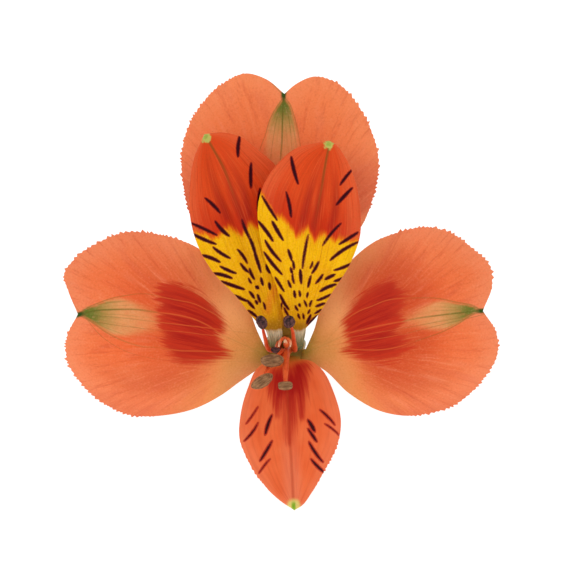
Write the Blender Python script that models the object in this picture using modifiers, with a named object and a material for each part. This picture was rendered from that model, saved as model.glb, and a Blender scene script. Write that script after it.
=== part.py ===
"""One alstroemeria bloom with its flower stalk, as picked, lying on a flat surface.

The bloom is drawn in its own face frame, in millimetres: u to the right and v up as seen from in front,
and d forward, towards whoever looks into the flower. Its origin is the middle of the ovary's top, where the
tepals, stamens and style grow from. An empty tilts that frame back, so that the flower rests on the lower
margins of its two side tepals and on the cut end of its stalk.
"""

import math
from dataclasses import dataclass

import bmesh
import bpy
import numpy as np
from mathutils import Matrix, Vector

# Driving dimensions, in millimetres and degrees
MM = 0.001
FACE_TILT = 45.0  # how far above level the bloom looks
BASE_HEIGHT = 7.76  # ovary top above the surface
BASE_PLACE = (0.54, -10.66)  # ovary top from the middle of the footprint, across and along the stalk
BLADE_THICKNESS = 0.62
SEAT_GAP = 0.35  # between a foot and the ovary's top
CREASE_WIDTH = 1.5
CLAW_ROWS = 4
BLADE_ROWS = 21
HALF_COLUMNS = 5

OVARY_RIBS = 6
RIB_DEPTH = 0.10  # share of the ovary's radius
STALK_SIDES = 24
STALK_RINGS = 34

STYLE_RADIUS = 0.36
STIGMA_RADIUS = 0.3
RING_PLACE = (0.0, 1.15)  # middle of the stamens' base ring, round the style
RING_RADIUS = 1.0  # to the middle of its rim
RING_RIM = 0.34
FILAMENT_RADII = (0.38, 0.32)  # at the foot and under the anther


@dataclass
class Tepal:
    """One petal-like blade. Points are (u, v); left and right are as seen from its foot, facing its tip."""

    colour: tuple
    foot: tuple  # middle of the foot on the ovary's top
    foot_width: float
    left: list  # margin, from the top of the claw to the tip
    middle: list
    right: list
    rise: list  # (distance from the top of the claw, forward height)
    curl: tuple  # forward height that the left and right margins gain at half_width
    half_width: float
    twist: float = 0.0  # forward slope from right to left
    ripple: tuple = (0.0, 10.0, 0.0)  # height at the margin, wavelength, phase
    crease: float = 0.35  # depth of the furrow along the middle


SALMON = (0.84, 0.19, 0.085)
STRIPED = (0.78, 0.20, 0.03)

TEPALS = {
    "outer_tepal_top": Tepal(
        colour=SALMON,
        foot=(0.3, 3.35),
        foot_width=2.4,
        left=[
            (-1.5, 3.9), (-6.2, 9.0), (-11.9, 16.1), (-15.0, 21.0), (-16.5, 26.9), (-16.8, 31.0),
            (-16.0, 35.5), (-13.9, 39.5), (-10.3, 43.2), (-6.3, 44.9), (-3.1, 44.0), (-0.1, 41.6),
        ],
        middle=[(0.2, 3.9), (0.2, 18.1), (-0.1, 41.6)],
        right=[
            (1.9, 3.9), (5.7, 9.8), (10.0, 16.8), (13.2, 21.9), (14.8, 26.9), (15.2, 31.0),
            (14.0, 35.8), (11.6, 40.2), (8.4, 43.5), (4.7, 44.4), (1.8, 43.2), (-0.1, 41.6),
        ],
        rise=[(0, 1.3), (4, 3.3), (10, 5.8), (18, 8.6), (27, 10.6), (36, 11.4), (44, 11.2)],
        curl=(-1.6, -2.2),
        half_width=16.0,
        ripple=(0.7, 17.0, 0.6),
    ),
    "outer_tepal_left": Tepal(
        colour=SALMON,
        foot=(-3.5, -1.15),
        foot_width=2.1,
        left=[
            (-3.7, -2.3), (-7.3, -4.8), (-10.5, -7.1), (-14.5, -9.1), (-20.2, -10.3), (-25.0, -10.3),
            (-29.2, -8.5), (-32.7, -5.5), (-35.3, -1.3), (-35.3, 2.3), (-33.4, 6.1),
        ],
        middle=[(-3.4, -0.8), (-18.5, 2.9), (-33.4, 6.1)],
        right=[
            (-3.2, 0.6), (-4.4, 3.1), (-6.1, 7.3), (-9.7, 11.5), (-13.7, 16.5), (-16.9, 18.1), (-21.8, 19.3),
            (-26.1, 19.4), (-30.3, 17.7), (-34.0, 15.2), (-35.8, 12.4), (-35.0, 9.8), (-33.4, 6.1),
        ],
        rise=[(0, 1.6), (3, 3.2), (7, 4.9), (12, 6.6), (18, 7.4), (24, 7.0), (31, 5.6), (36, 4.4)],
        curl=(-8.1, -3.0),
        half_width=14.5,
        ripple=(0.6, 13.0, 1.1),
    ),
    "outer_tepal_right": Tepal(
        colour=SALMON,
        foot=(3.6, -1.05),
        foot_width=2.1,
        left=[
            (3.4, 0.5), (4.7, 3.5), (6.0, 7.9), (10.0, 14.0), (13.7, 17.3), (18.5, 19.5), (22.9, 20.3),
            (26.6, 19.4), (30.6, 16.6), (33.2, 13.9), (33.5, 11.0), (31.9, 6.6),
        ],
        middle=[(3.5, -0.6), (16.9, 2.9), (31.9, 6.6)],
        right=[
            (3.7, -1.6), (6.0, -2.7), (10.5, -6.8), (15.3, -9.5), (19.4, -10.3), (23.4, -10.0),
            (28.2, -8.2), (32.3, -4.2), (34.4, -0.5), (34.2, 3.1), (31.9, 6.6),
        ],
        rise=[(0, 1.6), (3, 3.2), (7, 5.0), (12, 6.8), (18, 7.7), (24, 7.2), (30, 5.6), (35, 4.2)],
        curl=(-2.6, -9.4),
        half_width=14.5,
        ripple=(0.6, 14.0, 2.6),
    ),
    "inner_tepal_upper_left": Tepal(
        colour=STRIPED,
        foot=(-2.45, 1.35),
        foot_width=1.4,
        left=[
            (-3.1, 3.5), (-4.5, 4.8), (-7.9, 9.0), (-11.6, 12.9), (-14.2, 17.6), (-15.3, 22.1),
            (-15.3, 26.9), (-14.7, 31.0), (-12.9, 35.0),
        ],
        middle=[(-1.8, 3.5), (-4.4, 11.6), (-7.9, 21.0), (-11.0, 28.5), (-12.9, 35.0)],
        right=[
            (-0.5, 3.5), (0.0, 10.0), (0.2, 16.5), (0.0, 23.7), (-1.3, 29.7), (-4.4, 32.6),
            (-7.3, 34.7), (-10.2, 35.3), (-12.9, 35.0),
        ],
        rise=[(0, 3.6), (3, 5.9), (8, 8.8), (14, 11.9), (20, 14.6), (27, 17.2), (34, 19.4)],
        curl=(0.5, 0.2),
        half_width=8.0,
        twist=0.10,
        crease=0.55,
    ),
    "inner_tepal_upper_right": Tepal(
        colour=STRIPED,
        foot=(2.7, 1.0),
        foot_width=1.4,
        left=[
            (1.5, 3.5), (0.0, 4.8), (-1.0, 7.1), (-2.3, 10.5), (-3.5, 14.5), (-4.4, 18.4), (-4.4, 22.9),
            (-3.7, 26.1), (-1.5, 29.4), (2.1, 32.3), (5.2, 33.4), (7.1, 33.4),
        ],
        middle=[(2.4, 3.5), (2.9, 10.0), (3.7, 18.1), (5.0, 26.1), (7.1, 33.4)],
        right=[
            (3.4, 3.9), (5.0, 5.6), (7.7, 9.8), (10.6, 14.5), (12.1, 18.9), (12.1, 23.2),
            (11.1, 28.1), (9.5, 31.5), (7.9, 33.1), (7.1, 33.4),
        ],
        rise=[(0, 4.1), (3, 7.6), (8, 11.0), (14, 14.3), (20, 17.0), (26, 19.3), (32, 21.2)],
        curl=(0.6, 0.4),
        half_width=8.0,
        twist=0.10,
        crease=0.55,
    ),
    "inner_tepal_lower": Tepal(
        colour=STRIPED,
        foot=(0.3, -2.6),
        foot_width=1.9,
        left=[
            (2.4, -1.1), (4.4, -1.6), (5.8, -2.7), (7.9, -6.6), (9.0, -11.3), (8.5, -14.8),
            (6.6, -18.7), (4.4, -22.4), (2.6, -24.7), (1.5, -25.3),
        ],
        middle=[(0.5, -1.1), (0.6, -9.4), (1.0, -17.4), (1.5, -25.3)],
        right=[
            (-1.5, -1.1), (-3.2, -1.7), (-4.5, -2.7), (-6.0, -5.8), (-7.1, -9.7), (-7.3, -13.9),
            (-5.6, -18.2), (-2.9, -21.9), (-0.3, -24.2), (1.5, -25.3),
        ],
        rise=[(0, 3.6), (2, 5.2), (5, 7.2), (10, 10.0), (16, 13.0), (21, 15.4), (25, 17.6)],
        curl=(1.2, 1.2),
        half_width=8.0,
        ripple=(0.3, 9.0, 0.4),
    ),
}

# Each stamen: foot on the ring in degrees, the filament's bends, the anther's centre, axis, length and width
STAMENS = [
    (200, [(-1.3, 0.4, 4), (-2.5, 0.2, 7), (-3.1, 1.9, 10.5)], (-3.8, 4.8, 14.6), (-0.4, 0.8, 0.3), 2.4, 1.7),
    (345, [(1.8, 0.2, 4.5), (1.5, 1.9, 9.5)], (0.6, 4.9, 15.4), (-0.1, 0.8, 0.6), 2.2, 2.0),
    (165, [(-1.2, 0.9, 4.5)], (-1.4, 0.3, 8.4), (0.9, 0.1, 0.42), 1.7, 1.1),
    (235, [(-0.6, 0.1, 5.0), (-0.7, 0.0, 10.0)], (-2.2, -1.3, 15.4), (0.98, 0.05, 0.2), 3.7, 2.1),
    (265, [(0.0, 0.1, 5.0), (-0.2, -0.2, 12.0)], (-3.7, -4.6, 18.8), (0.82, 0.52, 0.25), 3.9, 2.1),
    (305, [(0.6, 0.1, 5.0), (0.6, -0.3, 12.0)], (0.1, -5.3, 20.4), (0.97, 0.03, 0.25), 2.6, 1.6),
]
STYLE_PATH = [(0.0, 1.15, 0.3), (0.1, 1.2, 4.0), (0.3, 1.3, 8.0), (0.5, 1.5, 11.6)]
STIGMA_TIPS = [(-0.7, 2.3, 13.2), (1.5, 2.3, 13.4), (0.8, 0.3, 13.6)]

# The stalk's run (sideways, back from the ovary's top, height above the surface) and its radius along it
STALK_PATH = [
    (0.0, 0.0, BASE_HEIGHT), (0.0, 1.1, BASE_HEIGHT - 1.1), (0.0, 4.6, 4.3), (0.1, 10.0, 2.55),
    (0.5, 20.0, 2.2), (1.4, 34.0, 1.9), (3.4, 51.0, 1.46),
]
STALK_RADII = [(0, 3.9), (0.8, 4.1), (3.5, 3.9), (6.0, 3.15), (8.5, 1.9), (11, 1.4), (30, 1.25), (56, 1.5)]
RIBBED_LENGTH = 9.5


def smooth(knots, values, at):
    """A smooth curve through the values at the knots, read at the places in at."""
    knots, values, at = (np.asarray(x, float) for x in (knots, values, at))
    values = values.reshape(len(knots), -1)
    gap = np.diff(knots)[:, None]
    slope = np.diff(values, axis=0) / gap
    bend = (slope[:-1] * gap[1:] + slope[1:] * gap[:-1]) / (gap[:-1] + gap[1:])
    tangent = np.vstack([slope[:1], bend, slope[-1:]])
    span = np.clip(np.searchsorted(knots, at, side="right") - 1, 0, len(gap) - 1)
    h = gap[span]
    x = (at.reshape(-1, 1) - knots[span].reshape(-1, 1)) / h
    start, end = values[span], values[span + 1]
    return (
        start * (1 + 2 * x) * (1 - x) ** 2
        + end * x**2 * (3 - 2 * x)
        + h * tangent[span] * x * (1 - x) ** 2
        - h * tangent[span + 1] * x**2 * (1 - x)
    )


def evenly(points, share):
    """Points along a smooth curve through the given ones, at the given shares of its length."""
    points = np.asarray(points, float)
    knots = np.concatenate([[0], np.cumsum(np.linalg.norm(np.diff(points, axis=0), axis=1))])
    fine = np.linspace(0, knots[-1], 400)
    dense = smooth(knots, points, fine)
    length = np.concatenate([[0], np.cumsum(np.linalg.norm(np.diff(dense, axis=0), axis=1))])
    return smooth(knots, points, np.interp(np.asarray(share) * length[-1], length, fine))


def height(tepal, place):
    """How far forward a blade lies at each (u, v) place."""
    start, tip = np.array(tepal.middle[0]), np.array(tepal.middle[-1])
    axis = (tip - start) / np.linalg.norm(tip - start)
    along = (place - start) @ axis
    across = (place - start) @ np.array([-axis[1], axis[0]])
    distance, rise = zip(*tepal.rise)
    far = np.clip(along, distance[0], distance[-1])
    forward = smooth(distance, rise, far)[:, 0]
    spread = across / tepal.half_width
    curl = np.where(across > 0, tepal.curl[0], tepal.curl[1])
    forward += curl * spread**2 * np.clip(along / 8, 0, 1)
    forward += tepal.twist * across * np.clip(along / 8, 0, 1)
    size, wavelength, phase = tepal.ripple
    forward += size * np.abs(spread) ** 3 * np.sin(2 * math.pi * along / wavelength + phase + np.sign(across))
    forward -= tepal.crease * np.exp(-((across / CREASE_WIDTH) ** 2)) * np.clip(along / 6, 0, 1)
    return forward


def blade(tepal, share, side):
    """Points on a blade: share runs from claw to tip, side from 1 at the left margin to -1 at the right."""
    middle = evenly(tepal.middle, share)
    margin = np.where(side[:, None] > 0, evenly(tepal.left, share), evenly(tepal.right, share))
    place = middle + (margin - middle) * np.abs(side)[:, None]
    return np.column_stack([place, height(tepal, place)])


def claw(tepal, share, side):
    """Points on the claw, which rises from the foot and runs smoothly into the blade's first row."""
    none = np.zeros_like(share)
    top = blade(tepal, none, side)
    ahead = blade(tepal, none + 0.03, none) - blade(tepal, none, none)
    ahead /= np.linalg.norm(ahead, axis=1)[:, None]
    edge = np.array(tepal.left[0]) - np.array(tepal.right[0])
    outward = np.array(tepal.foot) / np.linalg.norm(tepal.foot)
    tangent = np.array([-outward[1], outward[0]])
    tangent *= math.copysign(1, tangent @ edge)
    foot = np.array(tepal.foot) + side[:, None] * tangent * tepal.foot_width / 2
    foot = np.column_stack([foot, np.full(len(foot), SEAT_GAP)])
    reach = np.linalg.norm(top - foot, axis=1)[:, None] * 0.42
    first = foot + reach * np.array([0, 0, 1])
    second = top - reach * ahead
    w = share[:, None]
    return foot * (1 - w) ** 3 + 3 * first * w * (1 - w) ** 2 + 3 * second * w**2 * (1 - w) + top * w**3


def material(name, colour, roughness):
    made = bpy.data.materials.new(name)
    made.use_nodes = True
    shader = made.node_tree.nodes["Principled BSDF"]
    shader.inputs["Base Color"].default_value = (*colour, 1)
    shader.inputs["Roughness"].default_value = roughness
    made.diffuse_color = (*colour, 1)
    return made


def add_object(name, mesh, parent, colour=None, roughness=0.5):
    made = bpy.data.objects.new(name, mesh)
    made.parent = parent
    PARTS.objects.link(made)
    if colour:
        mesh.materials.append(material(name, colour, roughness))
        mesh.shade_smooth()
        mesh.set_sharp_from_angle(angle=math.radians(50))
    return made


def add_tepal(name, tepal, parent):
    """A grid bent into the claw and blade, cut into triangles, and thickened equally to both sides."""
    rows = CLAW_ROWS + BLADE_ROWS
    shape = bmesh.new()
    bmesh.ops.create_grid(shape, x_segments=rows, y_segments=2 * HALF_COLUMNS, size=1)
    grid = np.array([vertex.co[:2] for vertex in shape.verts])
    row = np.rint((grid[:, 0] + 1) / 2 * rows)
    side = np.round(grid[:, 1], 6)
    on_claw = claw(tepal, np.minimum(row / CLAW_ROWS, 1), side)
    on_blade = blade(tepal, np.clip((row - CLAW_ROWS) / BLADE_ROWS, 0, 1), side)
    points = np.where(row[:, None] < CLAW_ROWS, on_claw, on_blade) * MM
    for vertex, point in zip(shape.verts, points):
        vertex.co = point
    bmesh.ops.remove_doubles(shape, verts=shape.verts, dist=0.02 * MM)
    bmesh.ops.triangulate(shape, faces=shape.faces)
    mesh = bpy.data.meshes.new(name)
    shape.to_mesh(mesh)
    shape.free()
    made = add_object(name, mesh, parent, tepal.colour, 0.45)
    shell = made.modifiers.new("thickness", "SOLIDIFY")
    shell.thickness = BLADE_THICKNESS * MM
    shell.offset = 0
    shell.use_even_offset = True
    return made


def add_stalk(parent):
    """The ribbed ovary and the stalk below it, lofted through rings of changing shape."""
    share = np.linspace(0, 1, STALK_RINGS) ** 1.6
    centres = evenly(STALK_PATH, share)
    length = np.concatenate([[0], np.cumsum(np.linalg.norm(np.diff(centres, axis=0), axis=1))])
    distance, radii = zip(*STALK_RADII)
    radius = smooth(distance, radii, np.clip(length, 0, distance[-1]))[:, 0]
    rib = RIB_DEPTH * np.clip(1 - length / RIBBED_LENGTH, 0, 1) ** 0.5
    shape = bmesh.new()
    rings = []
    for i, centre in enumerate(centres):
        before, after = centres[max(i - 1, 0)], centres[min(i + 1, STALK_RINGS - 1)]
        ahead = Vector(after - before).normalized()
        up = ahead.cross(Vector((1, 0, 0))).normalized()
        across = up.cross(ahead)
        ring = []
        for k in range(STALK_SIDES):
            turn = 2 * math.pi * k / STALK_SIDES
            reach = float(radius[i] * (1 + rib[i] * math.cos(OVARY_RIBS * turn)))
            offset = (up * math.cos(turn) + across * math.sin(turn)) * reach
            ring.append(shape.verts.new((Vector(centre) + offset) * MM))
        rings.append(ring)
    for near, far in zip(rings, rings[1:]):
        for k in range(STALK_SIDES):
            turn = (k + 1) % STALK_SIDES
            shape.faces.new((near[k], near[turn], far[turn], far[k]))
    shape.faces.new(rings[0])
    shape.faces.new(rings[-1])
    bmesh.ops.recalc_face_normals(shape, faces=shape.faces)
    mesh = bpy.data.meshes.new("stalk")
    shape.to_mesh(mesh)
    shape.free()
    return add_object("stalk", mesh, parent, (0.14, 0.22, 0.045), 0.5)


def add_thread(name, points, radii, parent):
    """A round tapering thread through the points, made as a curve and turned into a closed mesh."""
    share = np.linspace(0, 1, 9)
    centres = evenly(points, share)
    curve = bpy.data.curves.new(name, "CURVE")
    curve.dimensions = "3D"
    curve.bevel_depth = MM
    curve.bevel_resolution = 2
    curve.use_fill_caps = True
    line = curve.splines.new("POLY")
    line.points.add(len(centres) - 1)
    for point, centre, thick in zip(line.points, centres, np.interp(share, (0, 1), radii)):
        point.co = (*(centre * MM), 1)
        point.radius = thick
    guide = bpy.data.objects.new(name, curve)
    PARTS.objects.link(guide)
    mesh = bpy.data.meshes.new_from_object(guide.evaluated_get(bpy.context.evaluated_depsgraph_get()))
    bpy.data.objects.remove(guide)
    shape = bmesh.new()
    shape.from_mesh(mesh)
    bmesh.ops.remove_doubles(shape, verts=shape.verts, dist=0.001 * MM)
    bmesh.ops.recalc_face_normals(shape, faces=shape.faces)
    shape.to_mesh(mesh)
    shape.free()
    return add_object(name, mesh, parent)


def add_anther(name, centre, axis, length, width, parent):
    """An ellipsoid with a furrow along its face, its long side along the given axis."""
    shape = bmesh.new()
    bmesh.ops.create_uvsphere(shape, u_segments=12, v_segments=8, radius=0.5)
    turn = Vector(axis).normalized().to_track_quat("Z", "Y")
    for vertex in shape.verts:
        x, y, z = vertex.co
        furrow = 1 - 0.3 * math.exp(-((x / 0.16) ** 2))
        lean = Vector((x * width, y * width * 0.85 * furrow, z * length))
        vertex.co = (turn @ lean + Vector(centre)) * MM
    mesh = bpy.data.meshes.new(name)
    shape.to_mesh(mesh)
    shape.free()
    return add_object(name, mesh, parent)


def fuse(name, pieces, colour, parent):
    """One closed body from pieces that run into each other."""
    first, rest = pieces[0], pieces[1:]
    group = bpy.data.collections.new(name + "_pieces")
    bpy.context.scene.collection.children.link(group)
    for piece in rest:
        group.objects.link(piece)
    bpy.context.view_layer.update()
    union = first.modifiers.new("union", "BOOLEAN")
    union.operation = "UNION"
    union.operand_type = "COLLECTION"
    union.collection = group
    union.solver = "EXACT"
    bpy.context.view_layer.update()
    mesh = bpy.data.meshes.new_from_object(first.evaluated_get(bpy.context.evaluated_depsgraph_get()))
    for piece in pieces:
        bpy.data.objects.remove(piece)
    bpy.data.collections.remove(group)
    shape = bmesh.new()
    shape.from_mesh(mesh)
    bmesh.ops.triangulate(shape, faces=shape.faces)
    shape.to_mesh(mesh)
    shape.free()
    mesh.name = name
    mesh.materials.clear()
    return add_object(name, mesh, parent, colour, 0.4)


def add_stamens(parent):
    """Six filaments and their anthers, on the low ring round the style that they grow from."""
    bpy.ops.mesh.primitive_torus_add(
        major_radius=RING_RADIUS * MM, minor_radius=RING_RIM * MM, major_segments=24, minor_segments=8
    )
    ring = bpy.context.object
    ring.parent = parent
    for holder in ring.users_collection:
        holder.objects.unlink(ring)
    PARTS.objects.link(ring)
    middle = np.array([*RING_PLACE, SEAT_GAP + RING_RIM])
    ring.data.transform(Matrix.Translation(Vector(middle) * MM))
    pieces = [ring]
    for number, (turn, bends, centre, axis, length, width) in enumerate(STAMENS, 1):
        around = math.radians(turn)
        foot = middle + RING_RADIUS * np.array([math.cos(around), math.sin(around), 0])
        above = foot + np.array([0, 0, 1.5])
        pieces.append(add_thread(f"filament_{number}", [foot, above, *bends, centre], FILAMENT_RADII, parent))
        pieces.append(add_anther(f"anther_{number}", centre, axis, length, width, parent))
    return fuse("stamens", pieces, (0.42, 0.09, 0.03), parent)


def add_style(parent):
    """The style and its three short stigma branches."""
    pieces = [add_thread("style_stem", STYLE_PATH, (STYLE_RADIUS, STYLE_RADIUS * 0.9), parent)]
    for number, tip in enumerate(STIGMA_TIPS, 1):
        start = np.array(STYLE_PATH[-1]) - np.array([0, 0, 0.6])
        bend = (start + np.array(tip)) / 2 + np.array([0, 0, 0.4])
        pieces.append(add_thread(f"branch_{number}", [start, bend, tip], (STIGMA_RADIUS,) * 2, parent))
    return fuse("style", pieces, (0.6, 0.15, 0.05), parent)


def main():
    for old in list(bpy.data.objects):
        bpy.data.objects.remove(old)
    bpy.context.scene.collection.children.link(PARTS)
    ground = bpy.data.objects.new("ovary_top_on_the_surface", None)
    ground.location = (BASE_PLACE[0] * MM, BASE_PLACE[1] * MM, 0)
    PARTS.objects.link(ground)
    face = bpy.data.objects.new("flower_face", None)
    face.parent = ground
    face.location = (0, 0, BASE_HEIGHT * MM)
    face.rotation_euler = (math.radians(90 - FACE_TILT), 0, 0)
    PARTS.objects.link(face)
    for name, tepal in TEPALS.items():
        add_tepal(name, tepal, face)
    add_stamens(face)
    add_style(face)
    add_stalk(ground)


PARTS = bpy.data.collections.new("alstroemeria_flower")
main()
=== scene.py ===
"""The looks of one alstroemeria bloom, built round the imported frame.

Shapes are drawn in the bloom's own face frame, in millimetres: u to the right and v up as seen from in front,
d forward. Markings are placed by pixels of the 566 x 566 photograph, which looks straight along that frame.
"""

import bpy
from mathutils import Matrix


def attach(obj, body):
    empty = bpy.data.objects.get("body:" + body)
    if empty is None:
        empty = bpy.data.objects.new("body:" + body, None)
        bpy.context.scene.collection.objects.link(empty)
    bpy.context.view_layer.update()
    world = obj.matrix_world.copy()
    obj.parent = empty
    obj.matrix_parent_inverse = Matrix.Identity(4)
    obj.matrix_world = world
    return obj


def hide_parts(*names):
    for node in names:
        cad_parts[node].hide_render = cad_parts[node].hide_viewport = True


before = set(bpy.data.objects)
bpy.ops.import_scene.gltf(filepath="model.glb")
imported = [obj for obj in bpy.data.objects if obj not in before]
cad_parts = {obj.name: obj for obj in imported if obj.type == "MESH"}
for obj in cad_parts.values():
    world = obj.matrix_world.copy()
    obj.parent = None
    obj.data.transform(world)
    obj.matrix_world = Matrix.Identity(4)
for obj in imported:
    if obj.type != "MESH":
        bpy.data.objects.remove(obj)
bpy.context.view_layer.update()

import math
from dataclasses import dataclass, field

import bpy
import numpy as np
from mathutils import Vector

MM = 0.001
PIXEL = 0.16129  # millimetres to a pixel of the photograph
PHOTO_ORIGIN = (285, 352)  # the ovary's top in the photograph
PHOTO_WIDTH = 566
PHOTO_MIDDLE = (283, 283)

# The face frame, as in the CAD source
FACE_TILT = 45.0
BASE_HEIGHT = 7.76
BASE_PLACE = (0.54, -10.66)
SEAT_GAP = 0.35
CREASE_WIDTH = 1.5

# Fineness of the petals' grids, whose columns crowd towards the margins
CLAW_ROWS = 26
BLADE_ROWS = 370
HALF_COLUMNS = 42
CROWDING = 1.35

# Thickness and relief of the petals
THICKNESS = (0.34, 0.14)  # along the middle and at the margin
VEIN_HEIGHT, VEIN_WIDTH = 0.08, 0.25
TIP_HEIGHT, TIP_WIDTH = 0.2, 0.7
KNOB_DEPTH = 0.5  # how far inside the tip the green knob has its middle

# Teeth along the margins
TOOTH_SPACING = (0.45, 1.05)
TOOTH_SIZES = (0.25, 1.0)
TOOTH_MIDDLE = 0.4  # the part of a tooth that lies inside the plain margin
TOOTH_PEAK = 0.72  # where along its length a tooth stands out most
TOOTH_COLUMNS = (1.0, 0.55, 0.2)  # how far the margin and the two columns inside it follow a tooth


def colour(red, green, blue):
    """A colour read on the 0 to 255 scale, in the linear values that shaders take."""
    scaled = np.array([red, green, blue]) / 255
    linear = np.where(scaled <= 0.04045, scaled / 12.92, ((scaled + 0.055) / 1.055) ** 2.4)
    return (*(float(x) for x in linear), 1.0)


def from_photo(points):
    """Face-frame places (u, v) of photograph pixels."""
    points = np.asarray(points, float).reshape(-1, 2)
    return np.column_stack([points[:, 0] - PHOTO_ORIGIN[0], PHOTO_ORIGIN[1] - points[:, 1]]) * PIXEL


def in_world(points):
    """World places, in metres, of face-frame points (u, v, d)."""
    u, v, d = np.asarray(points, float).T
    turn = math.radians(FACE_TILT)
    back = v * math.sin(turn) - d * math.cos(turn)
    up = v * math.cos(turn) + d * math.sin(turn)
    return np.column_stack([BASE_PLACE[0] + u, BASE_PLACE[1] + back, BASE_HEIGHT + up]) * MM


@dataclass
class Tepal:
    """One petal-like blade, in the CAD source's terms, with its markings."""

    foot: tuple
    foot_width: float
    left: list
    middle: list
    right: list
    rise: list
    curl: tuple
    half_width: float
    twist: float = 0.0
    ripple: tuple = (0.0, 10.0, 0.0)
    crease: float = 0.35
    teeth: tuple = ()  # for each margin, the shares where teeth start and end, and their size in mm
    veins: list = field(default_factory=list)  # each a fineness, 1 for the boldest, and a line of pixels
    bend: float = 1.5  # how fast the fine veins turn out to the margins, 1 for not at all
    lens: list = field(default_factory=list)  # outline of the tan and green zone
    lens_fade: float = 0.0  # how much narrower the lens gets away from the tip, in mm
    patch: list = field(default_factory=list)  # outline of the deep red zone
    halo: float = 0.0  # how strongly the blade darkens round the patch
    border: list = field(default_factory=list)  # line with red above it and yellow below
    blush: list = field(default_factory=list)  # line of an orange smudge


OUTER_TOP = Tepal(
    foot=(0.3, 2.7),
    foot_width=2.4,
    left=[
        (-1.5, 3.9), (-6.2, 9.0), (-11.9, 16.1), (-15.0, 21.0), (-16.5, 26.9), (-16.8, 31.0),
        (-16.0, 35.5), (-13.9, 39.5), (-10.3, 43.2), (-6.3, 44.9), (-3.1, 44.0), (-0.1, 41.6),
    ],
    middle=[(0.2, 3.9), (0.2, 18.1), (-0.1, 41.6)],
    right=[
        (1.9, 3.9), (5.7, 9.8), (10.0, 16.8), (13.2, 21.9), (14.8, 26.9), (15.2, 31.0),
        (14.0, 35.8), (11.6, 40.2), (8.4, 43.5), (4.7, 44.4), (1.8, 43.2), (-0.1, 41.6),
    ],
    rise=[(0, 1.3), (4, 3.3), (10, 5.8), (18, 8.6), (27, 10.6), (36, 11.4), (44, 11.2)],
    curl=(-1.6, -2.2),
    half_width=16.0,
    ripple=(0.7, 17.0, 0.6),
    bend=2.0,
    teeth=((0.34, 0.88, 0.52), (0.36, 0.90, 0.52)),
    lens=[
        (284, 96), (276, 107), (269, 121), (265, 135), (261, 147), (256, 175), (262, 230), (274, 300),
        (288, 300), (302, 230), (306, 175), (301, 147), (298, 129), (294, 115), (290, 104),
    ],
    veins=[
        (1, [(283.5, 96), (282.5, 115), (282, 140), (280, 165), (281, 220), (282, 300)]),
        (1.5, [(283, 98), (276, 108), (269.5, 121), (265.5, 135), (261, 147), (256, 175), (262, 230),
          (274, 300)]),
        (1.5, [(285, 98), (290, 104), (294, 115), (297.5, 129), (300.5, 147), (306, 175), (302, 230),
          (288, 300)]),
        (2.6, [(283, 100), (277, 118), (273, 140), (270, 165), (272, 230), (278, 300)]),
        (2.6, [(285, 100), (289, 118), (291.5, 140), (293, 165), (292, 230), (286, 300)]),
    ],
)
OUTER_LEFT = Tepal(
    foot=(-2.7, -0.9),
    foot_width=2.1,
    left=[
        (-3.7, -2.3), (-7.3, -4.8), (-10.5, -7.1), (-14.5, -9.1), (-20.2, -10.3), (-25.0, -10.3),
        (-29.2, -8.5), (-32.7, -5.5), (-35.3, -1.3), (-35.3, 2.3), (-33.4, 6.1),
    ],
    middle=[(-3.4, -0.8), (-18.5, 2.9), (-33.4, 6.1)],
    right=[
        (-3.2, 0.6), (-4.4, 3.1), (-6.1, 7.3), (-9.7, 11.5), (-13.7, 16.5), (-16.9, 18.1), (-21.8, 19.3),
        (-26.1, 19.4), (-30.3, 17.7), (-34.0, 15.2), (-35.8, 12.4), (-35.0, 9.8), (-33.4, 6.1),
    ],
    rise=[(0, 1.6), (3, 3.2), (7, 4.9), (12, 6.6), (18, 7.4), (24, 7.0), (31, 5.6), (36, 4.4)],
    curl=(-8.1, -3.0),
    half_width=14.5,
    ripple=(0.6, 13.0, 1.1),
    teeth=((0.42, 0.97, 0.68), (0.40, 0.93, 0.60)),
    lens=[
        (78, 314), (84, 308), (96, 304), (113, 298), (127, 295.5), (140, 294.5), (152, 295), (165, 298),
        (180, 318), (172, 345), (160, 348), (146, 347), (130, 343), (116, 337), (104, 331), (92, 323),
        (84, 318),
    ],
    lens_fade=1.8,
    halo=0.45,
    patch=[
        (160, 287), (170, 285), (180, 284), (191, 289), (202, 297), (213, 307), (222, 321), (224, 329),
        (216, 335), (221, 346), (229, 355), (213, 360), (197, 363), (182, 363), (174, 358), (167, 350),
        (163, 335), (160, 320), (158, 300),
    ],
    veins=[
        (1, [(82, 314), (95, 310.7), (113.6, 309.6), (135, 309.6), (153.7, 312), (175, 314.7), (194, 319.4),
          (207, 325.4), (221, 334), (240, 343)]),
        (1, [(81, 316), (93.5, 323.4), (104, 330.8), (116, 337.5), (129.6, 342.9), (145.7, 346.9),
          (153.7, 347), (167, 349), (180.5, 350.6), (194, 351), (221, 351.6), (240, 350)]),
        (1.4, [(80, 313), (88, 307.5), (96, 304), (113.5, 298), (127, 295.5), (139, 294), (151, 294.6),
          (159, 296.6), (175, 300), (194, 304), (207, 310.5), (219, 317.5), (232, 330)]),
        (1.4, [(83, 315), (100, 316), (125, 318), (150, 321)]),
        (2.2, [(82, 315), (92, 321.4), (104, 323.4), (121.6, 326), (140.4, 328), (159, 330), (180.5, 331.5),
          (200.6, 334), (221, 337), (240, 345)]),
        (3.0, [(88, 321), (98.8, 333.5), (117.6, 347), (140.4, 355.6), (162, 359), (190, 360)]),
    ],
)
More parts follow.
